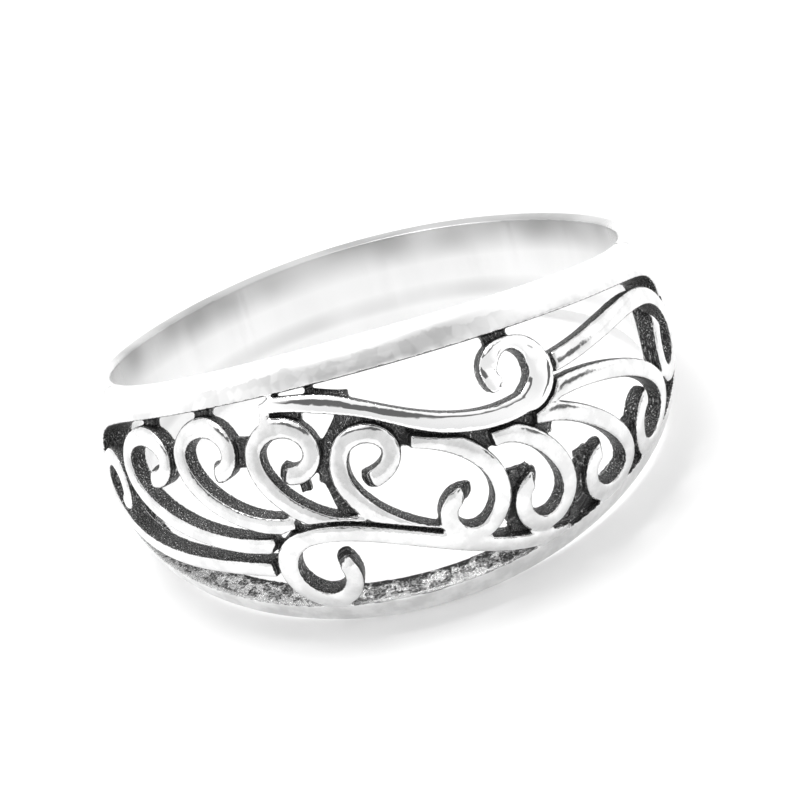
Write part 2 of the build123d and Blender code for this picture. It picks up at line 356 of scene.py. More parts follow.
WEBS = (
    Web("left_2_to_3", -26.8, 0.34, -26.8, 0.54),
    Web("left_2_shoulder", -24.6, 0.475, -20.3, 0.60),
    Web("left_2_to_stem", -20.0, 0.640, -14.6, 0.605),
    Web("left_2_to_root", -21.2, 0.585, -20.9, 0.735, raised=True),
    Web("left_1_to_2", -12.0, 0.18, -11.2, 0.44),
    Web("left_1_shoulder", -10.6, 0.41, -7.0, 0.567),
    Web("left_1_side", -11.2, 0.20, -10.0, -0.08),
    Web("left_1_foot", -10.0, -0.08, -6.0, -0.24),
    Web("left_1_to_stem", -6.0, -0.24, 3.0, -0.42),
    Web("left_2_nub", -17.2, 0.20, -15.3, 0.205),
    Web("left_3_to_4", -42.6, 0.29, -43.0, 0.50),
    Web("left_4_to_5", -60.9, 0.20, -60.0, 0.02),
    Web("left_1_to_volute", -7.0, 0.59, 1.6, 0.43),
    Web("left_1_to_right_1", 1.0, 0.44, 2.2, 0.33),
    Web("right_1_to_volute", 8.0, 0.31, 15.4, 0.17),
    Web("right_1_crown", 15.4, 0.17, 21.4, 0.175),
    Web("right_1_nub", 17.8, -0.171, 21.8, -0.187),
    Web("right_1_to_2", 18.2, -0.216, 17.5, -0.51),
    Web("right_1_to_2_foot", 17.5, -0.51, 18.9, -0.64),
    Web("right_2_to_volute", 21.4, 0.18, 28.4, 0.07),
    Web("right_2_nub", 32.0, -0.295, 35.1, -0.287),
    Web("right_2_to_3", 32.0, -0.303, 32.3, -0.66),
    Web("right_2_to_3_foot", 29.5, -0.70, 35.5, -0.72),
    Web("right_3_to_4", 46.9, -0.26, 47.8, -0.47),
    Web("right_4_to_5", 61.0, -0.08, 63.0, -0.27),
    Web("stem_to_rail", -13.3, 0.735, -5.4, 0.67),
    Web("left_3_to_rail", -37.8, 0.70, -34.0, 0.72),
    Web("left_4_to_rail", -53.6, 0.58, -50.0, 0.60),
    Web("volute_to_rail", 22.0, 0.78, 27.0, 0.75),
    Web("right_5_to_rail", 68.5, -0.38, 71.0, -0.38),
)


@dataclass(frozen=True)
class Drawing:
    """The front's flat drawing, and how its lines are laid on the dome."""

    band: Band
    spread: float = 25.0
    stem_steps: int = 26
    curl_steps: int = 60
    tightening: float = 2.2

    def flat(self, at: float, up: float) -> Vector:
        """A place of the drawing, in units in which a curl is drawn round."""
        return Vector((at / self.spread, up, 0.0))

    def unrolled(self, point: Vector) -> Vector:
        """A place of the drawing on the front, unrolled flat at its real size."""
        sideways = math.radians(point.x * self.spread) * self.band.crown_r
        return Vector((sideways, point.y * self.band.half_front, 0.0))

    def turn_of(self, flat: Vector) -> float:
        """The turn from the middle of the front that an unrolled point stands for."""
        return math.degrees(flat.x / self.band.crown_r)

    def centre_line(self, scroll: Scroll) -> list[Vector]:
        """Draws the line along the middle of a scroll, from its root to its tip.

        Args:
            scroll: The scroll to draw.

        Returns:
            Points on the unrolled front, in millimetres.
        """
        curl = []
        for i in range(self.curl_steps + 1):
            share = i / self.curl_steps
            shrink = (scroll.tip_radius - scroll.join_radius) * share**self.tightening
            angle = math.radians(scroll.join_turn + scroll.sweep * share)
            radius = scroll.join_radius + shrink
            spoke = Vector((math.cos(angle), math.sin(angle) * scroll.tallness, 0.0)) * radius
            curl.append(self.flat(scroll.curl_at, scroll.curl_up) + spoke)
        root = self.flat(scroll.root_at, scroll.root_up)
        length = (curl[0] - root).length
        leave = math.radians(scroll.root_turn)
        pull_out = root + Vector((math.cos(leave), math.sin(leave), 0.0)) * length * scroll.root_pull
        pull_in = curl[0] - (curl[1] - curl[0]).normalized() * length * scroll.join_pull
        stem = []
        for i in range(self.stem_steps):
            t = i / self.stem_steps
            near = root * (1 - t) ** 3 + pull_out * (3 * t * (1 - t) ** 2)
            stem.append(near + pull_in * (3 * t**2 * (1 - t)) + curl[0] * t**3)
        return [self.unrolled(point) for point in stem + curl]


@dataclass(frozen=True)
class Line:
    """A line on the unrolled front that can be walked by its own length."""

    points: tuple[Vector, ...]

    @property
    def length(self) -> float:
        """Length of the whole line."""
        return sum((b - a).length for a, b in zip(self.points, self.points[1:]))

    def walk(self, distance: float) -> tuple[Vector, Vector]:
        """Walks along the line, and straight on past either end.

        Args:
            distance: How far to walk from the line's start.

        Returns:
            The place reached, and the direction of the line there.
        """
        gone, last = 0.0, len(self.points) - 2
        for i in range(last + 1):
            a, b = self.points[i], self.points[i + 1]
            span = (b - a).length
            if distance <= gone + span or i == last:
                break
            gone += span
        before, after = self.points[max(i - 1, 0)], self.points[min(i + 2, last + 1)]
        share = (distance - gone) / span
        mix = min(1.0, max(0.0, share))
        heading = ((b - before) * (1 - mix) + (after - a) * mix).normalized()
        return a + (b - a) * share, heading

    def nearest(self, point: Vector) -> tuple[float, float]:
        """Finds the nearest place on the line to a point.

        Args:
            point: The point, on the unrolled front.

        Returns:
            The distance of the point from the line, and how far along the line that is.
        """
        best, along, gone = math.inf, 0.0, 0.0
        for a, b in zip(self.points, self.points[1:]):
            span = b - a
            share = min(1.0, max(0.0, (point - a).dot(span) / span.length_squared))
            gap = (a + span * share - point).length
            if gap < best:
                best, along = gap, gone + span.length * share
            gone += span.length
        return best, along


@dataclass
class Bar:
    """One bar of the filigree, laid along a line on the dome."""

    band: Band
    drawing: Drawing
    scroll: Scroll
    line: Line
    neighbour: "Bar | None" = None
    step: float = 0.09
    rows: int = 18
    rounding: float = 0.13
    round_rise: float = 0.06
    flank_lean: float = 34.5
    least_tilt: float = 6.0
    flank_edge: Span = (-0.45, -0.15)
    shoulder: Span = (0.52, 0.95)
    shoulder_slope: float = 50.0
    belly: Span = (0.45, 1.0)
    belly_slope: float = 46.0
    flank_steps: int = 16
    root_lap: float = 0.50
    root_fade: float = 1.6
    root_round: float = 0.06
    groove_edge: Span = (0.102, 0.17)
    groove_depth: float = 0.34
    groove_reach: float = 2.6
    root_sink: float = 0.16
    root_least: float = 0.04
    tip_drop: float = 0.50
    tip_reach: float = 0.22
    tip_squareness: float = 3.5
    tip_end: float = 0.002
    swelling: float = 0.6

    def width(self, distance: float) -> float:
        """Finds how wide the bar is, swollen in its curl and blunt at its tip.

        Args:
            distance: Distance along the bar.

        Returns:
            The width there.
        """
        stem = sum((b - a).length for a, b in zip(
            self.line.points[:self.drawing.stem_steps], self.line.points[1:]))
        share = min(1.0, max(0.0, (distance - stem) / (self.line.length - stem)))
        swell = math.sin(math.pi * share**self.swelling)
        full = self.scroll.stem_width + (self.scroll.curl_width - self.scroll.stem_width) * swell
        past = (distance - self.line.length) / self.tip_reach
        if past > 0:
            full *= max(0.0, 1 - past**self.tip_squareness) ** (1 / self.tip_squareness)
        if self.scroll.root_taper:
            grown = smooth_step(-self.root_lap, self.scroll.root_taper - self.root_lap, distance)
            full *= self.root_least + (1 - self.root_least) * math.sqrt(grown)
        return full

    def flank(self, across: float, tilt: float) -> float:
        """Height of a rounded bar over its middle, as a share of half its width.

        Args:
            across: Place across the bar, from -1 at its lower side to 1 at its upper side.
            tilt: Slope of the broad flank above the middle, in degrees.

        Returns:
            The height, negative where the bar falls away.
        """
        height = 0.0
        for i in range(self.flank_steps):
            at = across * (i + 0.5) / self.flank_steps
            slope = tilt * smooth_step(*self.flank_edge, at)
            slope = slope + (self.shoulder_slope - tilt) * smooth_step(*self.shoulder, at)
            slope -= self.belly_slope * smooth_step(*self.belly, -at)
            height -= math.tan(math.radians(slope)) * across / self.flank_steps
        return height

    def rise(self, distance: float, across: float, width: float, tilt: float) -> float:
        """How far the bar's top stands above the dome.

        Args:
            distance: Distance along the bar.
            across: Place across the bar, from -1 to 1.
            width: Width of the bar there.
            tilt: Slope of a rounded bar's broad flank, in degrees.

        Returns:
            The height above the dome, in millimetres.
        """
        if self.scroll.section is Section.ROUND:
            height = self.round_rise + self.flank(across, tilt) * width / 2
        else:
            height = self.scroll.crown * (1 - across**2)
            inset = (1 - abs(across)) * width / 2
            if inset < self.rounding:
                height -= self.rounding - math.sqrt(self.rounding**2 - (self.rounding - inset) ** 2)
        past = distance - (self.line.length + self.tip_reach - self.scroll.tip_slope)
        if past > 0 and self.scroll.section is Section.FLAT:
            height -= self.tip_drop * min(1.0, past / self.scroll.tip_slope)
        if self.scroll.root_taper:
            height -= self.root_sink * (1 - smooth_step(-self.root_lap, 0.0, distance))
        return height + self.scroll.lift * smooth_step(-self.root_lap, self.root_fade, distance)

    def tilt(self, flat: Vector, heading: Vector) -> float:
        """Finds the slope that gives a rounded bar's upper flank the same lean all along.

        Args:
            flat: Place on the unrolled front.
            heading: Direction of the bar there.

        Returns:
            The slope, in degrees.
        """
        face = self.band.spoke(self.band.on_face(self.drawing.turn_of(flat), flat.y)).normalized()
        lean = self.flank_lean - math.degrees(math.asin(face.z))
        return max(self.least_tilt, lean * max(0.0, heading.x))

    def groove(self, flat: Vector) -> float:
        """Depth of the groove that parts the bar's root from the bar it springs from."""
        clear = self.neighbour.clearance(flat) if self.neighbour else math.inf
        return self.groove_depth * (1 - smooth_step(*self.groove_edge, clear))

    def clearance(self, flat: Vector) -> float:
        """Distance of an unrolled point from this bar's side, negative inside the bar."""
        gap, along = self.line.nearest(flat)
        return gap - self.width(along) / 2

    def place(self, along: float, across: float) -> tuple[float, float, float]:
        """Finds where a corner of the flat grid goes.

        Args:
            along: Place along the bar, from -1 at its root to 1 at its tip.
            across: Place across the bar, from -1 to 1.

        Returns:
            The turn, the height and how far the top stands above the dome there.
        """
        start = -self.root_lap
        end = self.line.length + self.tip_reach - self.tip_end
        distance = start + (end - start) * (along + 1) / 2
        middle, heading = self.line.walk(distance)
        width = self.width(distance)
        across = math.sin(across * math.pi / 2)
        aside = across * width / 2
        for trim in self.scroll.trims:
            near = smooth_step(trim.reach, 0.0, abs(distance - trim.at))
            aside -= near * (trim.upper * (1 + across) - trim.lower * (1 - across)) / 2
        flat = middle + Vector((-heading.y, heading.x, 0.0)) * aside
        rise = self.rise(distance, across, width, self.tilt(flat, heading))
        for dent in self.scroll.dents:
            rise -= dent.depth * math.exp(-(((distance - dent.at) / dent.reach) ** 2))
        if distance < self.groove_reach:
            rise -= self.groove(flat)
        if self.scroll.blunt_root:
            rise -= self.groove_depth * (1 - smooth_step(-self.root_round, self.root_round, distance))
        return self.drawing.turn_of(flat), flat.y, rise

    def corner(self, along: float, across: float, top: bool) -> Vector:
        """Places a corner of the bar, on its rounded top or on the dome's inside."""
        turn, up, rise = self.place(along, across)
        return self.band.on_face(turn, up, rise) if top else self.band.under(turn, up)

    def mesh(self) -> bmesh.types.BMesh:
        """Models the bar as a closed strip, from its rounded top to the dome's inside."""
        steps = math.ceil((self.line.length + self.root_lap) / self.step)
        return slab(steps, self.rows, self.corner)


@dataclass
class Shank:
    """The band itself: the shank, the shoulders and the two rails, before piercing."""

    band: Band
    turns: int = 240
    face_rows: int = 40
    inner_rows: int = 18
    rim_rows: int = 3
    rim_rounding: float = 0.34
    rim_drop: float = 0.20

    def section_point(self, turn: float, row: int) -> Vector:
        """Finds a point of the band's section.

        Args:
            turn: Turn from the middle of the front.
            row: Number of the point, up the outer face, over the upper rim, down the
                inside and back under the lower rim.

        Returns:
            The point.
        """
        half = self.band.half_height(turn)
        if row < self.face_rows:
            up = half * math.sin(math.pi / 2 * (2 * row / (self.face_rows - 1) - 1))
            radius = self.band.face_radius(turn, up)
            inset = half - abs(up)
            if inset < self.rim_rounding:
                share = 1 - inset / self.rim_rounding
                radius -= self.rim_drop * (1 - math.sqrt(1 - share**2))
            return self.band.at(turn, radius, up)
        row -= self.face_rows
        if row < self.rim_rows:
            return self.rim_point(turn, (row + 1) / (self.rim_rows + 1), half)
        row -= self.rim_rows
        if row < self.inner_rows:
            up = half * (1 - 2 * row / (self.inner_rows - 1))
            return self.band.at(turn, self.band.hollow_radius(turn, up), up)
        row -= self.inner_rows
        return self.rim_point(turn, 1 - (row + 1) / (self.rim_rows + 1), -half)

    def rim_point(self, turn: float, share: float, up: float) -> Vector:
        """A point of a rim, from the outer face at share 0 to the inner face at 1."""
        outer, inner = self.band.face_radius(turn, up) - self.rim_drop, self.band.hollow_radius(turn, up)
        return self.band.at(turn, outer + (inner - outer) * share, up)

    def mesh(self) -> bmesh.types.BMesh:
        """Models the band by spinning its section round the finger.

        Returns:
            The band's closed mesh in the ring's own frame, in millimetres.
        """
        rows = self.face_rows + self.inner_rows + 2 * self.rim_rows
        bm = bmesh.new()
        layer = bm.verts.layers.int.new("row")
        made = bmesh.ops.create_circle(bm, segments=rows, radius=1.0)
        for row, vert in enumerate(made["verts"]):
            vert.co = self.section_point(0.0, row)
            vert[layer] = row
        bmesh.ops.spin(bm, geom=bm.verts[:] + bm.edges[:], axis=(0, 0, 1), cent=(0, 0, 0),
                       angle=math.tau, steps=self.turns, use_merge=True)
        for vert in bm.verts:
            vert.co = self.section_point(turn_at(vert.co), vert[layer])
        bmesh.ops.recalc_face_normals(bm, faces=bm.faces[:])
        return bm


@dataclass
class Panel:
    """The opening of the front, between the rails, that the filigree fills."""

    band: Band
    columns: int = 96
    rows: int = 10
    clearance: float = 1.2

    def corner(self, along: float, across: float, top: bool) -> Vector:
        """Places a corner of the opening.

        Args:
            along: Place along the opening, from -1 to 1.
            across: Place across it, from -1 to 1.
            top: Whether the corner stands outside the dome, and not in its hollow.

        Returns:
            The corner.
        """
        sideways = math.sin(along * math.pi / 2)
        turn, up = self.band.panel_turn(sideways), self.band.panel_height(sideways) * across
        if top:
            return self.band.on_face(turn, up, self.clearance)
        inner = self.band.under(turn, up)
        return inner - inner.normalized() * self.clearance

    def mesh(self) -> bmesh.types.BMesh:
        """Models the opening as a closed block that reaches through the dome."""
        return slab(self.columns, self.rows, self.corner)


@dataclass
class Strut:
    """A web between two bars: low, rough and black, or raised and clean."""

    band: Band
    drawing: Drawing
    web: Web
    width: float = 0.60
    drop: float = 0.30
    raised_width: float = 0.38
    raised_drop: float = 0.03
    flare: float = 0.12
    flare_power: int = 4
    cells: int = 8

    def corner(self, along: float, across: float, top: bool) -> Vector:
        """Places a corner of the web.

        Args:
            along: Place along the web, from -1 to 1.
            across: Place across it, from -1 to 1.
            top: Whether the corner belongs to the top, and not to the dome's inside.

        Returns:
            The corner.
        """
        start = self.drawing.unrolled(self.drawing.flat(self.web.start_at, self.web.start_up))
        end = self.drawing.unrolled(self.drawing.flat(self.web.end_at, self.web.end_up))
        ahead = (end - start).normalized()
        width = self.raised_width if self.web.raised else self.width
        drop = self.raised_drop if self.web.raised else self.drop
        aside = Vector((-ahead.y, ahead.x, 0.0)) * (width / 2)
        spread = 1 + self.flare * abs(along) ** self.flare_power
        flat = start + (end - start) * ((along + 1) / 2) + aside * across * spread
        turn = self.drawing.turn_of(flat)
        return self.band.on_face(turn, flat.y, -drop) if top else self.band.under(turn, flat.y)

    def mesh(self) -> bmesh.types.BMesh:
        """Models the web as a closed block between the dome's inside and its top."""
        return slab(self.cells, self.cells, self.corner)


def as_object(bm: bmesh.types.BMesh, name: str) -> bpy.types.Object:
    """Puts a bmesh into a new object of the scene.

    Args:
        bm: The mesh, which is freed.
        name: Name of the object.

    Returns:
        The object, at the origin.
    """
    mesh = bpy.data.meshes.new(name)
    bm.to_mesh(mesh)
    bm.free()
    obj = bpy.data.objects.new(name, mesh)
    bpy.context.scene.collection.objects.link(obj)
    return obj


def applied(obj: bpy.types.Object) -> None:
    """Replaces an object's mesh by what its modifiers make of it, and removes them.

    Args:
        obj: The object.
    """
    depsgraph = bpy.context.evaluated_depsgraph_get()
    mesh = bpy.data.meshes.new_from_object(obj.evaluated_get(depsgraph))
    old = obj.data
    obj.modifiers.clear()
    obj.data = mesh
    bpy.data.meshes.remove(old)


def joined(parts: list[bmesh.types.BMesh]) -> bmesh.types.BMesh:
    """Puts several meshes into the first of them.

    Args:
        parts: The meshes, all but the first of which are freed.

    Returns:
        The first mesh, holding them all.
    """
    whole = parts[0]
    for part in parts[1:]:
        mesh = bpy.data.meshes.new("part")
        part.to_mesh(mesh)
        part.free()
        whole.from_mesh(mesh)
        bpy.data.meshes.remove(mesh)
    return whole


@dataclass(frozen=True)
class Ramp:
    """A smooth change along with another number: first up to low, last from high on."""

    low: float
    high: float
    first: float = 0.0
    last: float = 1.0


@dataclass(frozen=True)
class Grain:
    """Soft random grain: its size in millimetres, and how many finer layers it has."""

    size: float
    layers: float


@dataclass(frozen=True)
class Recipe:
    """The nodes of a material or of the world, in the making."""

    tree: bpy.types.NodeTree
    layer_strength: float = 0.6
    facet_softness: float = 0.35

    def feed(self, node: bpy.types.Node, inputs: "Inputs") -> None:
        """Feeds a node's inputs.

        Args:
            node: The node.
            inputs: What feeds each input: a value, or a plain number or colour.
        """
        for name, source in inputs.items():
            if isinstance(source, Value):
                self.tree.links.new(source.socket, node.inputs[name])
            else:
                node.inputs[name].default_value = source

    def node(self, kind: str, output: str, inputs: "Inputs", **settings: str) -> "Value":
        """Adds a node.

        Args:
            kind: The node's type, after the words ShaderNode.
            output: The output that is wanted.
            inputs: What feeds each input.
            settings: The node's own settings.

        Returns:
            The output.
        """
        node = self.tree.nodes.new("ShaderNode" + kind)
        for name, setting in settings.items():
            setattr(node, name, setting)
        self.feed(node, inputs)
        return Value(self, node.outputs[output])

    def maths(self, kind: str, first: "Source", second: "Source") -> "Value":
        """Works out a sum, product or other mathematics of two numbers."""
        return self.node("Math", "Value", {0: first, 1: second}, operation=kind)

    def value(self, name: str) -> "Value":
        """Reads one of the piece's own attributes."""
        return self.node("Attribute", "Fac", {}, attribute_name=name)

    def spot(self, x: "Source", y: "Source") -> "Value":
        """Makes a place out of two numbers."""
        return self.node("CombineXYZ", "Vector", {"X": x, "Y": y})

    def noise(self, place: "Value", per_unit: float, layers: float) -> "Value":
        """Makes random numbers about 0.5, so many to a unit of the place, with finer layers."""
        inputs = {"Vector": place, "Scale": per_unit, "Detail": layers, "Roughness": self.layer_strength}
        return self.node("TexNoise", "Fac", inputs)

    def grain(self, grain: Grain) -> "Value":
        """Makes soft random grain all over the object."""
        return self.noise(self.node("TexCoord", "Object", {}), 1 / (grain.size * MM), grain.layers)

    def facets(self, place: "Value", per_unit: float) -> "Value":
        """Makes a pattern of facets, each with a random shade of its own.

        Args:
            place: The place that the pattern is read at.
            per_unit: Number of facets in a unit of that place.

        Returns:
            The shade, from 0 to 1.
        """
        inputs = {"Vector": place, "Scale": per_unit, "Smoothness": self.facet_softness}
        colour = self.node("TexVoronoi", "Color", inputs, feature="SMOOTH_F1")
        return self.node("SeparateColor", "Red", {"Color": colour})

    def blend(self, share: "Source", first: "Source", second: "Source") -> "Value":
        """Blends two numbers, by a share from 0 to 1."""
        return self.node("Mix", "Result", {"Factor": share, "A": first, "B": second})


@dataclass(frozen=True)
class Value:
    """A number or a place that nodes work out anew at each spot of a surface."""

    recipe: Recipe
    socket: bpy.types.NodeSocket

    def __add__(self, other: "Source") -> "Value":
        """Adds another number."""
        return self.recipe.maths("ADD", self, other)

    def __sub__(self, other: "Source") -> "Value":
        """Takes another number away."""
        return self.recipe.maths("SUBTRACT", self, other)

    def __mul__(self, other: "Source") -> "Value":
        """Multiplies by another number."""
        return self.recipe.maths("MULTIPLY", self, other)

    def __abs__(self) -> "Value":
        """Drops the sign."""
        return self.recipe.maths("ABSOLUTE", self, 0.0)

    def at_least(self, other: "Source") -> "Value":
        """Takes the greater of this and another number."""
        return self.recipe.maths("MAXIMUM", self, other)

    def ramp(self, ramp: Ramp) -> "Value":
        """Turns this number smoothly into another, as a ramp says."""
        inputs = dict(zip(("Value", "From Min", "From Max", "To Min", "To Max"), (self, *astuple(ramp))))
        return self.recipe.node("MapRange", "Result", inputs, interpolation_type="SMOOTHSTEP")


Source = Value | float | tuple[float, ...]
Inputs = dict[str | int, Source]


@dataclass(frozen=True)
class Silver:
    """Polished silver that has turned black in its recesses.

    Shades are brightnesses from 0 to 1, sizes are millimetres, and each ramp says how a
    feature fades in or out. The black cover has a ragged edge. On walls it is worn away in
    streaks and glints, and on the low crescent in crumbs: most at its lip, least at its
    rim, in hollows and at its far end. The middle of the upper rail gets a painted
    reflection, darkened in facets. The inside of the shank is rougher, and a painted
    reflection darkens it, most at its rim and in a stripe. The outer face at the back is
    darker and mottled.
    """

    bright: float = 0.97
    black: float = 0.045
    satin_shade: Ramp = Ramp(0.36, 0.64, 0.72, 0.88)
    # Painted reflection on the upper rail: the lower part of its middle is darkened in random facets.
    painted_rail_reflection: float = 0.72
    painted_rail_reflection_share: float = 0.8
    facets_per_mm: float = 3.0
    rail_stretch: float = 0.17
    rail_wave: float = 0.8
    rail_edge: Ramp = Ramp(0.88, 0.94, 1.0, 0.0)
    rail_middle: float = -4.0
    rail_fade: Ramp = Ramp(26.0, 40.0, 1.0, 0.0)
    # Painted reflection inside the shank: its colour is darkened, most at the upper rim and in a stripe
    # low down, a little everywhere, and broken up by clouds.
    painted_reflection_shade: float = 0.36
    painted_reflection_rim: Ramp = Ramp(0.05, 1.7, 1.0, 0.0)
    stripe_start: Ramp = Ramp(0.30, 0.85, 0.0, 0.45)
    stripe_end: Ramp = Ramp(0.90, 1.70, 1.0, 0.0)
    least_painted_reflection: float = 0.17
    cloud: Ramp = Ramp(0.3, 0.7, 0.55, 1.0)
    # The outer face at the back is darker in colour, and mottled.
    back_shade: float = 0.62
    back_mottle: Ramp = Ramp(0.36, 0.64, 1.0, 0.7)
    ragged: float = 0.3
    cover_edge: Ramp = Ramp(0.50, 0.72)
    streak_along: float = 1.3
    streak_across: float = 17.0
    streak_fine: float = 0.5
    streak: Ramp = Ramp(0.68, 0.98, 0.0, 0.36)
    glint_coarse: float = 0.7
    glint: Ramp = Ramp(0.97, 1.04)
    lip: Ramp = Ramp(0.05, 0.20, 0.78, 0.50)
    rim: Ramp = Ramp(0.62, 0.86, 0.0, 0.16)
    hollow: Ramp = Ramp(0.44, 0.60, 0.16, 0.0)
    far: Ramp = Ramp(8.0, 18.0, 0.0, 0.10)
    crumb_coarse: float = 0.55
    crumb_fine: float = 0.45
    crumb: Ramp = Ramp(0.72, 1.08)
    polish: float = 0.06
    satin: float = 0.13
    dull: float = 0.36
    rough: float = 0.50
    coarse: Grain = Grain(0.085, 3.0)
    fine: Grain = Grain(0.03825, 2.0)
    pits: Grain = Grain(0.34, 2.0)
    crust: Grain = Grain(0.085, 4.0)
    ripples: Grain = Grain(0.5, 2.0)
    mottle: Grain = Grain(0.9, 4.0)
    clouds: Grain = Grain(3.0, 1.0)
    line_layers: float = 3.0
    ripple: float = 0.25
    relief: float = 0.06
    relief_edge: Ramp = Ramp(0.2, 0.7)

    def oxide(self, recipe: Recipe) -> Value:
        """Mixes how much of the silver the black oxide covers.

        Args:
            recipe: The material in the making.

        Returns:
            The cover, from 0 where the silver is clean to 1 where it is black.
        """
        coarse, fine, deep = recipe.grain(self.coarse), recipe.grain(self.fine), recipe.value("deep")
        cover = (recipe.value("oxide") + coarse * self.ragged).ramp(self.cover_edge)
        streak_at = recipe.spot(recipe.value("along") * self.streak_along, deep * self.streak_across)
        streak = recipe.noise(streak_at, 1.0, self.line_layers)
        soft = (streak + fine * self.streak_fine).ramp(self.streak)
        wall = soft.at_least((streak + coarse * self.glint_coarse).ramp(self.glint))
        level = deep.ramp(self.lip) - deep.ramp(self.rim)
        level = level - (recipe.grain(self.pits).ramp(self.hollow) + recipe.value("turn").ramp(self.far))
        crumbs = coarse * self.crumb_coarse + fine * self.crumb_fine
        worn = recipe.blend(recipe.value("rub"), wall, (crumbs + level).ramp(self.crumb))
        return cover * recipe.maths("SUBTRACT", 1.0, worn)

    def painted_reflection(self, recipe: Recipe) -> Value:
        """Mixes the painted reflection that darkens the inside of the shank: most at its upper rim,
        and in a stripe low down.

        Args:
            recipe: The material in the making.

        Returns:
            A share between 0 and 1.
        """
        over = recipe.value("over")
        high = recipe.value("below").ramp(self.painted_reflection_rim)
        stripe = over.ramp(self.stripe_start) * over.ramp(self.stripe_end)
        cloud = recipe.grain(self.clouds).ramp(self.cloud)
        return recipe.value("inside") * high.at_least(stripe).at_least(self.least_painted_reflection) * cloud

    def shade(self, recipe: Recipe) -> Value:
        """Mixes how bright the clean silver is: mottled satin bars, painted reflections on the
        upper rail, in facets, and inside the shank, and a darker, mottled back.

        Args:
            recipe: The material in the making.

        Returns:
            The brightness, from 0 to 1.
        """
        mottle = recipe.grain(self.mottle)
        tops = recipe.blend(recipe.value("satin"), self.bright, mottle.ramp(self.satin_shade))
        # Painted reflection: darkens the inside of the shank.
        tops = recipe.blend(self.painted_reflection(recipe), tops, self.painted_reflection_shade)
        # Darkens and mottles the outer face at the back.
        tops = recipe.blend(recipe.value("back") * mottle.ramp(self.back_mottle), tops, self.back_shade)
        turn, above = recipe.value("turn"), recipe.value("above")
        rail_at = recipe.spot(turn * self.rail_stretch, above)
        wave = recipe.noise(rail_at, 1.0, self.line_layers)
        lower = (above + wave * self.rail_wave).ramp(self.rail_edge)
        middle = abs(turn - self.rail_middle).ramp(self.rail_fade)
        facet = recipe.facets(rail_at, self.facets_per_mm) * self.painted_rail_reflection_share
        # Painted reflection: a darker shade for the rail's facets.
        grey = recipe.blend(facet, self.painted_rail_reflection, self.bright)
        return recipe.blend(lower * (middle * recipe.value("rail")), tops, grey)

    def material(self) -> bpy.types.Material:
        """Makes the material.

        Returns:
            A material that reads the attributes that the ring's own form gives it.
        """
        mat = bpy.data.materials.new("oxidised_silver")
        mat.use_nodes = True
        recipe = Recipe(mat.node_tree)
        cover = self.oxide(recipe)
        shade = recipe.blend(cover, self.shade(recipe), self.black)
        tint = recipe.node("CombineColor", "Color", dict.fromkeys(("Red", "Green", "Blue"), shade))
        gloss = recipe.blend(recipe.value("satin"), self.polish, self.satin)
        dull = recipe.value("matte").at_least(recipe.value("inside") + recipe.value("back"))
        gloss = recipe.blend(dull, gloss, self.dull)
        smooth = recipe.grain(self.ripples) * (recipe.value("satin") * self.ripple)
        grainy = recipe.value("oxide").ramp(self.relief_edge)
        height = recipe.blend(grainy, smooth, recipe.grain(self.crust))
        recipe.feed(mat.node_tree.nodes["Principled BSDF"], {
            "Metallic": 1.0,
            "Base Color": tint,
            "Roughness": recipe.blend(cover, gloss, self.rough),
            "Normal": recipe.node("Bump", "Normal", {"Distance": self.relief * MM, "Height": height}),
        })
        return mat


@dataclass(frozen=True)
class Lie:
    """How the ring lies on the floor: where its middle is, and how far its front dips."""

    centre: Vector = Vector((0.0, 0.5994, 3.3106))
    dip: float = 9.60065

    def turned(self, size: int) -> Matrix:
        """The turn from the ring's own frame to the part's, as a matrix of a size."""
        return Matrix.Rotation(math.radians(-self.dip), size, "X")


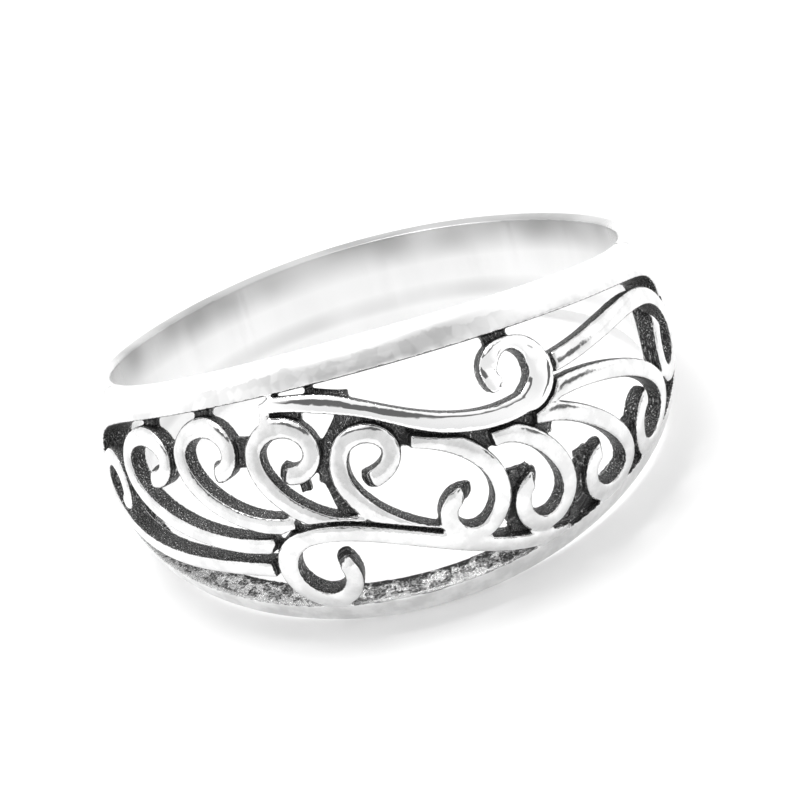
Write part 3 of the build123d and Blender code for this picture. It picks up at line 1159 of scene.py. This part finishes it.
@dataclass
class PatinaAndPaintedReflections:
    """Where the silver is black, rubbed, satin or dull, and where the upper rail and the inside
    of the shank get painted reflections, read from the ring's own form.

    A span says from where to where a feature grows from 0 to 1. The spans of turns and
    ahead are degrees, panel_edge, low and satin_edge are millimetres, and the others say
    how squarely the surface faces outwards, from -1 to 1.
    """

    band: Band
    bars: list[Bar]
    track_step: float = 0.05
    panel_edge: Span = (-0.10, -0.03)
    low: Span = (0.10, 0.20)
    steep: Span = (0.45, 0.7)
    steep_share: float = 0.9
    inward: Span = (-0.80, -0.5)
    round_reach: float = 0.50
    ahead: Span = (110, 80)
    satin_edge: Span = (-0.40, -0.15)
    crescent_level: float = 0.5
    crescent_inset: float = 0.15
    crescent_turns: Span = (-70, 29)
    rail_inset: float = -0.02
    rail_turn: float = 90.0
    shank_turns: Span = (70, 120)
    shank_in: Span = (0.75, 0.1)
    back_turns: Span = (95, 130)
    back_out: Span = (0.2, 0.6)
    streak_shift: float = 20.0
    tracks: list[tuple[Vector, float, Bar]] = field(default_factory=list)

    def nearest_bars(self) -> kdtree.KDTree:
        """Makes a quick way to find the bar nearest to a place on the unrolled front.

        Returns:
            A tree of places along the bars' middles, numbered in the order of self.tracks.
        """
        self.tracks = []
        for bar in self.bars:
            count = math.ceil(bar.line.length / self.track_step)
            for i in range(count + 1):
                along = bar.line.length * i / count
                self.tracks.append((bar.line.walk(along)[0], along, bar))
        tree = kdtree.KDTree(len(self.tracks))
        for number, track in enumerate(self.tracks):
            tree.insert(track[0], number)
        tree.balance()
        return tree

    def tones(self, vert: bpy.types.MeshVertex, tree: kdtree.KDTree) -> dict[str, float]:
        """Works out the silver's state at one corner of the ring.

        Args:
            vert: The corner, in the ring's own frame and in millimetres.
            tree: What self.nearest_bars() gave.

        Returns:
            A number for each attribute that the material reads.
        """
        turn, up = self.band.above(vert.co)
        inset = self.band.panel_inset(turn, up)
        facing = vert.normal.dot(self.band.spoke(vert.co).normalized())
        deep = self.band.depth(vert.co)
        half = self.band.half_height(turn)
        _, number, gap = tree.find(Vector((math.radians(turn) * self.band.crown_r, up, 0.0)))
        middle, along, bar = self.tracks[number]
        steep = (1 - smooth_step(*self.steep, facing)) * self.steep_share
        low = max(smooth_step(*self.low, deep), steep)
        round_bar = bar.scroll.section is Section.ROUND and gap < self.round_reach
        ahead = smooth_step(*self.ahead, abs(turn))
        satin = max(smooth_step(*self.satin_edge, inset), ahead if up < 0 else 0.0)
        first, last = self.crescent_turns
        floor = vert.normal.z > self.crescent_level and inset < self.crescent_inset
        on_rail = inset < self.rail_inset
        return {
            "oxide": low * smooth_step(*self.panel_edge, inset) * smooth_step(*self.inward, facing),
            "rub": 1.0 if floor and up < 0 and first < turn < last else 0.0,
            "satin": 0.0 if round_bar else satin,
            # Marks the upper rail, whose middle gets a painted reflection.
            "rail": 1.0 if on_rail and up > 0 and abs(turn) < self.rail_turn else 0.0,
            # Marks the inside of the shank: rougher, and darkened by a painted reflection.
            "inside": smooth_step(*self.shank_turns, abs(turn)) * smooth_step(*self.shank_in, facing),
            # Marks the outer face at the back, which is darker and rougher.
            "back": smooth_step(*self.back_turns, abs(turn)) * smooth_step(*self.back_out, facing),
            "below": half - vert.co.z,
            "over": half + vert.co.z,
            "matte": ahead if on_rail else 0.0,
            "along": along + self.streak_shift * middle.x,
            "deep": deep,
            "turn": turn,
            "above": -inset,
        }

    def laid_on(self, ring: bpy.types.Object) -> None:
        """Writes the silver's state into the ring's attributes.

        Args:
            ring: The fused ring, in its own frame and in millimetres.
        """
        tree = self.nearest_bars()
        tones = [self.tones(vert, tree) for vert in ring.data.vertices]
        for name in tones[0]:
            layer = ring.data.attributes.new(name, "FLOAT", "POINT")
            layer.data.foreach_set("value", [tone[name] for tone in tones])


@dataclass
class OpenworkRing:
    """The whole ring, fused from its band, bars and webs."""

    band: Band
    drawing: Drawing
    silver: Silver
    lie: Lie
    voxel: float = 0.05
    evening: float = 0.5
    evenings: int = 5
    most_triangles: int = 190000
    burnishings: int = 5
    crispness: float = 16.0

    def bars(self) -> list[Bar]:
        """Draws every scroll and volute.

        Returns:
            The bars, each of which knows the bar that it springs from.
        """
        made = {}
        for scroll in SCROLLS:
            line = Line(tuple(self.drawing.centre_line(scroll)))
            made[scroll.name] = Bar(self.band, self.drawing, scroll, line)
        for bar in made.values():
            bar.neighbour = made.get(bar.scroll.springs_from)
            LOG.info("bar %s: %.2f mm long", bar.scroll.name, bar.line.length)
        return list(made.values())

    def fused(self, bars: list[Bar]) -> bpy.types.Object:
        """Fuses band, bars and webs into one skin.

        Args:
            bars: The bars of the filigree.

        Returns:
            The ring in its own frame, in millimetres.
        """
        ring = as_object(Shank(self.band).mesh(), "silver_openwork_ring")
        panel = as_object(Panel(self.band).mesh(), "panel")
        cut = ring.modifiers.new("panel", "BOOLEAN")
        cut.operation, cut.solver, cut.object = "DIFFERENCE", "EXACT", panel
        applied(ring)
        bpy.data.objects.remove(panel)
        frame = bmesh.new()
        frame.from_mesh(ring.data)
        webs = [Strut(self.band, self.drawing, web).mesh() for web in WEBS]
        whole = joined([frame] + [bar.mesh() for bar in bars] + webs)
        whole.to_mesh(ring.data)
        whole.free()
        remesh = ring.modifiers.new("fuse", "REMESH")
        remesh.mode, remesh.voxel_size, remesh.use_smooth_shade = "VOXEL", self.voxel, True
        even = ring.modifiers.new("even", "SMOOTH")
        even.factor, even.iterations = self.evening, self.evenings
        applied(ring)
        LOG.info("fused: %d faces", len(ring.data.polygons))
        thin = ring.modifiers.new("thin", "DECIMATE")
        thin.ratio = min(1.0, self.most_triangles / (2 * len(ring.data.polygons)))
        applied(ring)
        LOG.info("thinned: %d faces", len(ring.data.polygons))
        return ring

    def burnish(self, ring: bpy.types.Object) -> None:
        """Evens out the shading of each smooth face, and keeps the edges between faces crisp.

        Args:
            ring: The finished ring.
        """
        mesh = ring.data
        normals = np.empty(len(mesh.vertices) * 3)
        mesh.vertices.foreach_get("normal", normals)
        normals = normals.reshape(-1, 3)
        ends = np.empty(len(mesh.edges) * 2, dtype=np.int64)
        mesh.edges.foreach_get("vertices", ends)
        first, second = ends[0::2], ends[1::2]
        least = math.cos(math.radians(self.crispness))
        for _ in range(self.burnishings):
            alike = (normals[first] * normals[second]).sum(axis=1)
            share = np.clip((alike - least) / (1 - least), 0.0, 1.0)[:, None]
            total = normals.copy()
            for axis in range(3):
                for near, far in ((first, second), (second, first)):
                    total[:, axis] += np.bincount(near, (normals[far] * share)[:, axis], len(normals))
            normals = total / np.linalg.norm(total, axis=1, keepdims=True)
        mesh.normals_split_custom_set_from_vertices(normals.tolist())

    def built(self) -> bpy.types.Object:
        """Builds the ring, dresses it and lays it on the floor.

        Returns:
            The finished piece, in metres, in the part's frame.
        """
        bars = self.bars()
        ring = self.fused(bars)
        PatinaAndPaintedReflections(self.band, bars).laid_on(ring)
        laid = Matrix.Translation(self.lie.centre) @ self.lie.turned(4)
        ring.data.transform(Matrix.Scale(MM, 4) @ laid)
        ring.data.materials.append(self.silver.material())
        ring.data.polygons.foreach_set("use_smooth", [True] * len(ring.data.polygons))
        self.burnish(ring)
        return ring


@dataclass(frozen=True)
class Studio:
    """The floor, the light and the camera.

    The light comes from all round. A dark slot lies high up in front, and a dark patch
    low down at the right, for the polished silver to mirror. The floor, the lamp and the
    camera's nearest and farthest view are in metres.
    """

    lie: Lie
    rise: float = 20.509
    swing: float = 1.974
    roll: float = 16.214
    distance: float = 121.473
    pixels_per_mm: float = 28.989
    centre_x: float = 382.704
    centre_y: float = 372.411
    frame: float = 800.0
    sensor: float = 36.0
    nearest: float = 0.001
    farthest: float = 50.0
    floor_size: float = 4.0
    floor_shade: float = 0.80
    floor_rough: float = 0.6
    floor_glow: float = 0.21
    front_to_back: Ramp = Ramp(-0.9, 0.3, 0.84, 1.05)
    sides: Ramp = Ramp(0.5, 0.95, 0.0, 0.25)
    slot_light: float = 0.14
    slot_rise: float = 58.5
    slot_half: float = 9.0
    slot_edge: float = 1.5
    slot_end: Ramp = Ramp(-0.02, -0.22)
    patch_bottom: Ramp = Ramp(-0.02, 0.02)
    patch_top: Ramp = Ramp(0.22, 0.26, 1.0, 0.0)
    patch_right: Ramp = Ramp(0.86, 0.90)
    patch_back: Ramp = Ramp(-0.02, 0.05, 1.0, 0.0)
    lamp_size: float = 0.09
    lamp_power: float = 0.155
    lamp_place: Vector = Vector((-0.03, 0.025, 0.17))

    def camera(self) -> None:
        """Places the camera at the photograph's angle to the ring."""
        rise, swing, roll = (math.radians(angle) for angle in (self.rise, self.swing, self.roll))
        right = Vector((math.cos(swing), math.sin(swing), 0.0))
        level = Vector((math.sin(swing), -math.cos(swing), 0.0))
        back = level * math.cos(rise) + Vector((0.0, 0.0, math.sin(rise)))
        up = back.cross(right)
        across = right * math.cos(roll) - up * math.sin(roll)
        upward = right * math.sin(roll) + up * math.cos(roll)
        axes = [self.lie.turned(3) @ axis for axis in (across, upward, back)]
        place = (self.lie.centre + axes[2] * self.distance) * MM
        data = bpy.data.cameras.new("camera")
        data.sensor_width = self.sensor
        data.lens = self.pixels_per_mm * self.distance * self.sensor / self.frame
        data.shift_x = (self.frame / 2 - self.centre_x) / self.frame
        data.shift_y = -(self.frame / 2 - self.centre_y) / self.frame
        data.clip_start, data.clip_end = self.nearest, self.farthest
        camera = bpy.data.objects.new("camera", data)
        camera.matrix_world = Matrix.Translation(place) @ Matrix(axes).transposed().to_4x4()
        bpy.context.scene.collection.objects.link(camera)
        bpy.context.scene.camera = camera

    def floor(self) -> None:
        """Lays the pale floor."""
        bm = bmesh.new()
        bmesh.ops.create_grid(bm, x_segments=1, y_segments=1, size=self.floor_size / 2)
        floor = as_object(bm, "floor")
        mat = bpy.data.materials.new("pale_floor")
        mat.use_nodes = True
        Recipe(mat.node_tree).feed(mat.node_tree.nodes["Principled BSDF"], {
            "Base Color": (self.floor_shade, self.floor_shade, self.floor_shade, 1.0),
            "Roughness": self.floor_rough,
            "Emission Color": (1.0, 1.0, 1.0, 1.0),
            "Emission Strength": self.floor_glow,
        })
        floor.data.materials.append(mat)

    def lamp(self) -> None:
        """Hangs a soft lamp at the upper left, behind the ring."""
        data = bpy.data.lights.new("lamp", "AREA")
        data.size = self.lamp_size
        data.energy = self.lamp_power
        lamp = bpy.data.objects.new("lamp", data)
        lamp.location = self.lamp_place
        lamp.rotation_euler = self.lamp_place.to_track_quat("Z", "Y").to_euler()
        bpy.context.scene.collection.objects.link(lamp)

    def height(self, side: int, edge: int) -> float:
        """Height of a direction at the slot's lower (-1) or upper (1) side, before or past its edge."""
        return math.sin(math.radians(self.slot_rise + side * self.slot_half + edge * self.slot_edge))

    def light(self) -> None:
        """Fills the studio with soft white light, broken by the dark slot and the dark patch."""
        world = bpy.data.worlds.new("studio")
        world.use_nodes = True
        bpy.context.scene.world = world
        recipe = Recipe(world.node_tree)
        direction = recipe.node("TexCoord", "Generated", {})
        x, y, z = (recipe.node("SeparateXYZ", axis, {"Vector": direction}) for axis in "XYZ")
        bottom = z.ramp(Ramp(self.height(-1, -1), self.height(-1, 1)))
        top = z.ramp(Ramp(self.height(1, -1), self.height(1, 1), 1.0, 0.0))
        slot = bottom * top * y.ramp(self.slot_end)
        low = z.ramp(self.patch_bottom) * z.ramp(self.patch_top)
        right = x.ramp(self.patch_right) * y.ramp(self.patch_back)
        around = y.ramp(self.front_to_back) + abs(x).ramp(self.sides)
        strength = recipe.blend(slot.at_least(low * right), around, self.slot_light)
        white = (1.0, 1.0, 1.0, 1.0)
        recipe.feed(world.node_tree.nodes["Background"], {"Color": white, "Strength": strength})
        bpy.context.scene.view_settings.view_transform = "Standard"

    def built(self) -> None:
        """Sets up the whole studio."""
        self.camera()
        self.floor()
        self.light()
        self.lamp()


def main() -> None:
    """Builds the ring and its studio, and reports each piece."""
    logging.basicConfig(level=logging.INFO, format="%(message)s")
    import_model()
    band = Band()
    ring = OpenworkRing(band, Drawing(band), Silver(), Lie()).built()
    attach(ring, "root")
    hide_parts("openwork_ring")
    LOG.info("%s: %d faces", ring.name, len(ring.data.polygons))
    Studio(Lie()).built()


if __name__ == "__main__":
    main()
